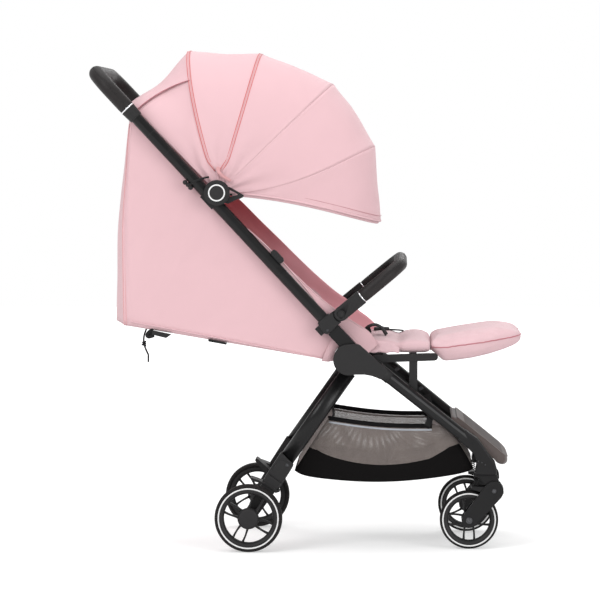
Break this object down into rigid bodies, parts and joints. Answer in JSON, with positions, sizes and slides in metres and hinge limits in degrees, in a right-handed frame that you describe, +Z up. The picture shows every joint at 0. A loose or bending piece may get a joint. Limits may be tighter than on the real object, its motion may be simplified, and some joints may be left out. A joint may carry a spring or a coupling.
{
  "type": "stroller",
  "caption": "Compact folding stroller with swivel front castors, reclining seat, hooded canopy, bumper bar, leg rest, footrest and an open basket under the seat.",
  "frame": {"origin": "on the floor, below the middle of the bounding box", "axes": "+X forward, +Y to the stroller's left, +Z up"},
  "size_m": [0.9257, 0.468, 1.0699],
  "materials": {
    "frame_tube": "satin black powder coat",
    "black_plastic": "fine grained black moulding",
    "grip": "dark stitched cover",
    "pink_fabric": "plain woven pale pink cloth",
    "basket_mesh": "fine knitted mesh",
    "tyre": "matt foam",
    "webbing": "woven black strap and cord",
    "spring_steel": "dark wire",
    "footrest_plastic": "grey-brown moulding"
  },
  "bodies": {
    "front_frame": {"hub_housing_right": "black_plastic", "hub_housing_left": "black_plastic", "front_leg_right": "frame_tube", "front_leg_left": "frame_tube", "front_foot_right": "black_plastic", "front_foot_left": "black_plastic", "seat_rail_right": "black_plastic", "seat_rail_left": "black_plastic", "footrest": "footrest_plastic", "basket": "basket_mesh", "seat_pad": "pink_fabric", "harness_buckle": "black_plastic"},
    "push_frame": {"push_tube_right": "frame_tube", "push_tube_left": "frame_tube", "handle_collar_right": "black_plastic", "handle_collar_left": "black_plastic", "canopy_bracket_right": "black_plastic", "canopy_bracket_left": "black_plastic", "bumper_clamp_right": "black_plastic", "bumper_clamp_left": "black_plastic", "handle_grip": "grip", "canopy_bow_1": "frame_tube", "canopy_rear_flap": "pink_fabric", "back_bag": "pink_fabric", "recline_cord": "webbing"},
    "rear_frame": {"rear_leg_right": "frame_tube", "rear_leg_left": "frame_tube", "rear_bracket_right": "black_plastic", "rear_bracket_left": "black_plastic", "rear_crossbar": "frame_tube"},
    "bumper": {"bumper_bar": "grip"},
    "fold_button": {"fold_button": "black_plastic"},
    "backrest": {"backrest": "pink_fabric", "harness_straps": "webbing"},
    "leg_rest": {"leg_rest": "pink_fabric"},
    "brake_pedal": {"brake_pedal": "black_plastic"},
    "canopy_2": {"canopy_bow_2": "frame_tube", "canopy_panel_1": "pink_fabric"},
    "canopy_3": {"canopy_bow_3": "frame_tube", "canopy_panel_2": "pink_fabric"},
    "canopy_4": {"canopy_bow_4": "frame_tube", "canopy_panel_3": "pink_fabric"},
    "canopy_5": {"canopy_bow_5": "frame_tube", "canopy_panel_4": "pink_fabric"},
    "bumper_button_right": {"bumper_button_right": "black_plastic"},
    "bumper_button_left": {"bumper_button_left": "black_plastic"},
    "castor_right": {"castor_swivel_right": "black_plastic"},
    "castor_arm_right": {"castor_arm_right": "black_plastic", "castor_spring_right": "spring_steel"},
    "front_wheel_right": {"front_rim_right": "black_plastic", "front_tyre_right": "tyre"},
    "rear_wheel_right": {"rear_rim_right": "black_plastic", "rear_tyre_right": "tyre"},
    "castor_left": {"castor_swivel_left": "black_plastic"},
    "castor_arm_left": {"castor_arm_left": "black_plastic", "castor_spring_left": "spring_steel"},
    "front_wheel_left": {"front_rim_left": "black_plastic", "front_tyre_left": "tyre"},
    "rear_wheel_left": {"rear_rim_left": "black_plastic", "rear_tyre_left": "tyre"}
  },
  "joints": [
    {"name": "frame_fold", "type": "hinge", "parent": "front_frame", "child": "push_frame", "pos_m": [0.0928, 0, 0.41], "axis": [0, 1, 0], "range_deg": [0, 60]},
    {"name": "rear_leg_fold", "type": "hinge", "parent": "front_frame", "child": "rear_frame", "pos_m": [0.0928, 0, 0.41], "axis": [0, 1, 0], "range_deg": [-50, 0]},
    {"name": "bumper_turn", "type": "hinge", "parent": "push_frame", "child": "bumper", "pos_m": [0.07666, 0, 0.50707], "axis": [0, 1, 0], "range_deg": [-60, 0]},
    {"name": "canopy_fold", "type": "hinge", "parent": "push_frame", "child": "canopy_2", "pos_m": [-0.18672, 0, 0.76327], "axis": [0, -1, 0], "range_deg": [0, 22], "deforming": ["canopy_panel_1"]},
    {"name": "canopy_fold_3", "type": "hinge", "parent": "canopy_2", "child": "canopy_3", "pos_m": [-0.18672, 0, 0.76327], "axis": [0, -1, 0], "range_deg": [0, 22], "deforming": ["canopy_panel_2"]},
    {"name": "canopy_fold_4", "type": "hinge", "parent": "canopy_3", "child": "canopy_4", "pos_m": [-0.18672, 0, 0.76327], "axis": [0, -1, 0], "range_deg": [0, 22], "deforming": ["canopy_panel_3"]},
    {"name": "canopy_fold_5", "type": "hinge", "parent": "canopy_4", "child": "canopy_5", "pos_m": [-0.18672, 0, 0.76327], "axis": [0, -1, 0], "range_deg": [0, 22], "deforming": ["canopy_panel_4"]},
    {"name": "recline", "type": "hinge", "parent": "push_frame", "child": "backrest", "pos_m": [0.0638, 0, 0.43], "axis": [0, -1, 0], "range_deg": [-35, 0]},
    {"name": "leg_rest_tilt", "type": "hinge", "parent": "front_frame", "child": "leg_rest", "pos_m": [0.2748, 0, 0.413], "axis": [0, 1, 0], "range_deg": [0, 60]},
    {"name": "brake_press", "type": "hinge", "parent": "rear_frame", "child": "brake_pedal", "pos_m": [-0.0852, 0, 0.13], "axis": [0, -1, 0], "range_deg": [0, 20]},
    {"name": "fold_button_press", "type": "slide", "parent": "push_frame", "child": "fold_button", "axis": [-0.682, 0, 0.7314], "range_m": [0, 0.003], "stiffness_N_per_m": 400, "springref_m": -0.002},
    {"name": "bumper_button_press_right", "type": "slide", "parent": "bumper", "child": "bumper_button_right", "axis": [0, 1, 0], "range_m": [0, 0.0025], "stiffness_N_per_m": 400, "springref_m": -0.002},
    {"name": "bumper_button_press_left", "type": "slide", "parent": "bumper", "child": "bumper_button_left", "axis": [0, -1, 0], "range_m": [0, 0.0025], "stiffness_N_per_m": 400, "springref_m": -0.002},
    {"name": "castor_swivel_right", "type": "hinge", "parent": "front_frame", "child": "castor_right", "pos_m": [0.3878, -0.148, 0.16], "axis": [0, 0, 1], "continuous": true},
    {"name": "suspension_right", "type": "hinge", "parent": "castor_right", "child": "castor_arm_right", "pos_m": [0.4028, -0.148, 0.126], "axis": [0, 1, 0], "range_deg": [0, 5], "stiffness_Nm_per_rad": 25, "springref_deg": -9.17, "deforming": ["castor_spring_right"]},
    {"name": "front_wheel_spin_right", "type": "hinge", "parent": "castor_arm_right", "child": "front_wheel_right", "pos_m": [0.3498, -0.148, 0.06266], "axis": [0, 1, 0], "continuous": true},
    {"name": "rear_wheel_spin_right", "type": "hinge", "parent": "rear_frame", "child": "rear_wheel_right", "pos_m": [-0.1202, -0.2165, 0.0721], "axis": [0, 1, 0], "continuous": true},
    {"name": "castor_swivel_left", "type": "hinge", "parent": "front_frame", "child": "castor_left", "pos_m": [0.3878, 0.148, 0.16], "axis": [0, 0, 1], "continuous": true},
    {"name": "suspension_left", "type": "hinge", "parent": "castor_left", "child": "castor_arm_left", "pos_m": [0.4028, 0.148, 0.126], "axis": [0, 1, 0], "range_deg": [0, 5], "stiffness_Nm_per_rad": 25, "springref_deg": -9.17, "deforming": ["castor_spring_left"]},
    {"name": "front_wheel_spin_left", "type": "hinge", "parent": "castor_arm_left", "child": "front_wheel_left", "pos_m": [0.3498, 0.148, 0.06266], "axis": [0, 1, 0], "continuous": true},
    {"name": "rear_wheel_spin_left", "type": "hinge", "parent": "rear_frame", "child": "rear_wheel_left", "pos_m": [-0.1202, 0.2165, 0.0721], "axis": [0, 1, 0], "continuous": true}
  ],
  "couplings": [
    {"joint": "rear_leg_fold", "follows": "frame_fold", "ratio": -0.8333},
    {"joint": "bumper_turn", "follows": "frame_fold", "ratio": -1},
    {"joint": "canopy_fold_3", "follows": "canopy_fold", "ratio": 1},
    {"joint": "canopy_fold_4", "follows": "canopy_fold", "ratio": 1},
    {"joint": "canopy_fold_5", "follows": "canopy_fold", "ratio": 1}
  ]
}
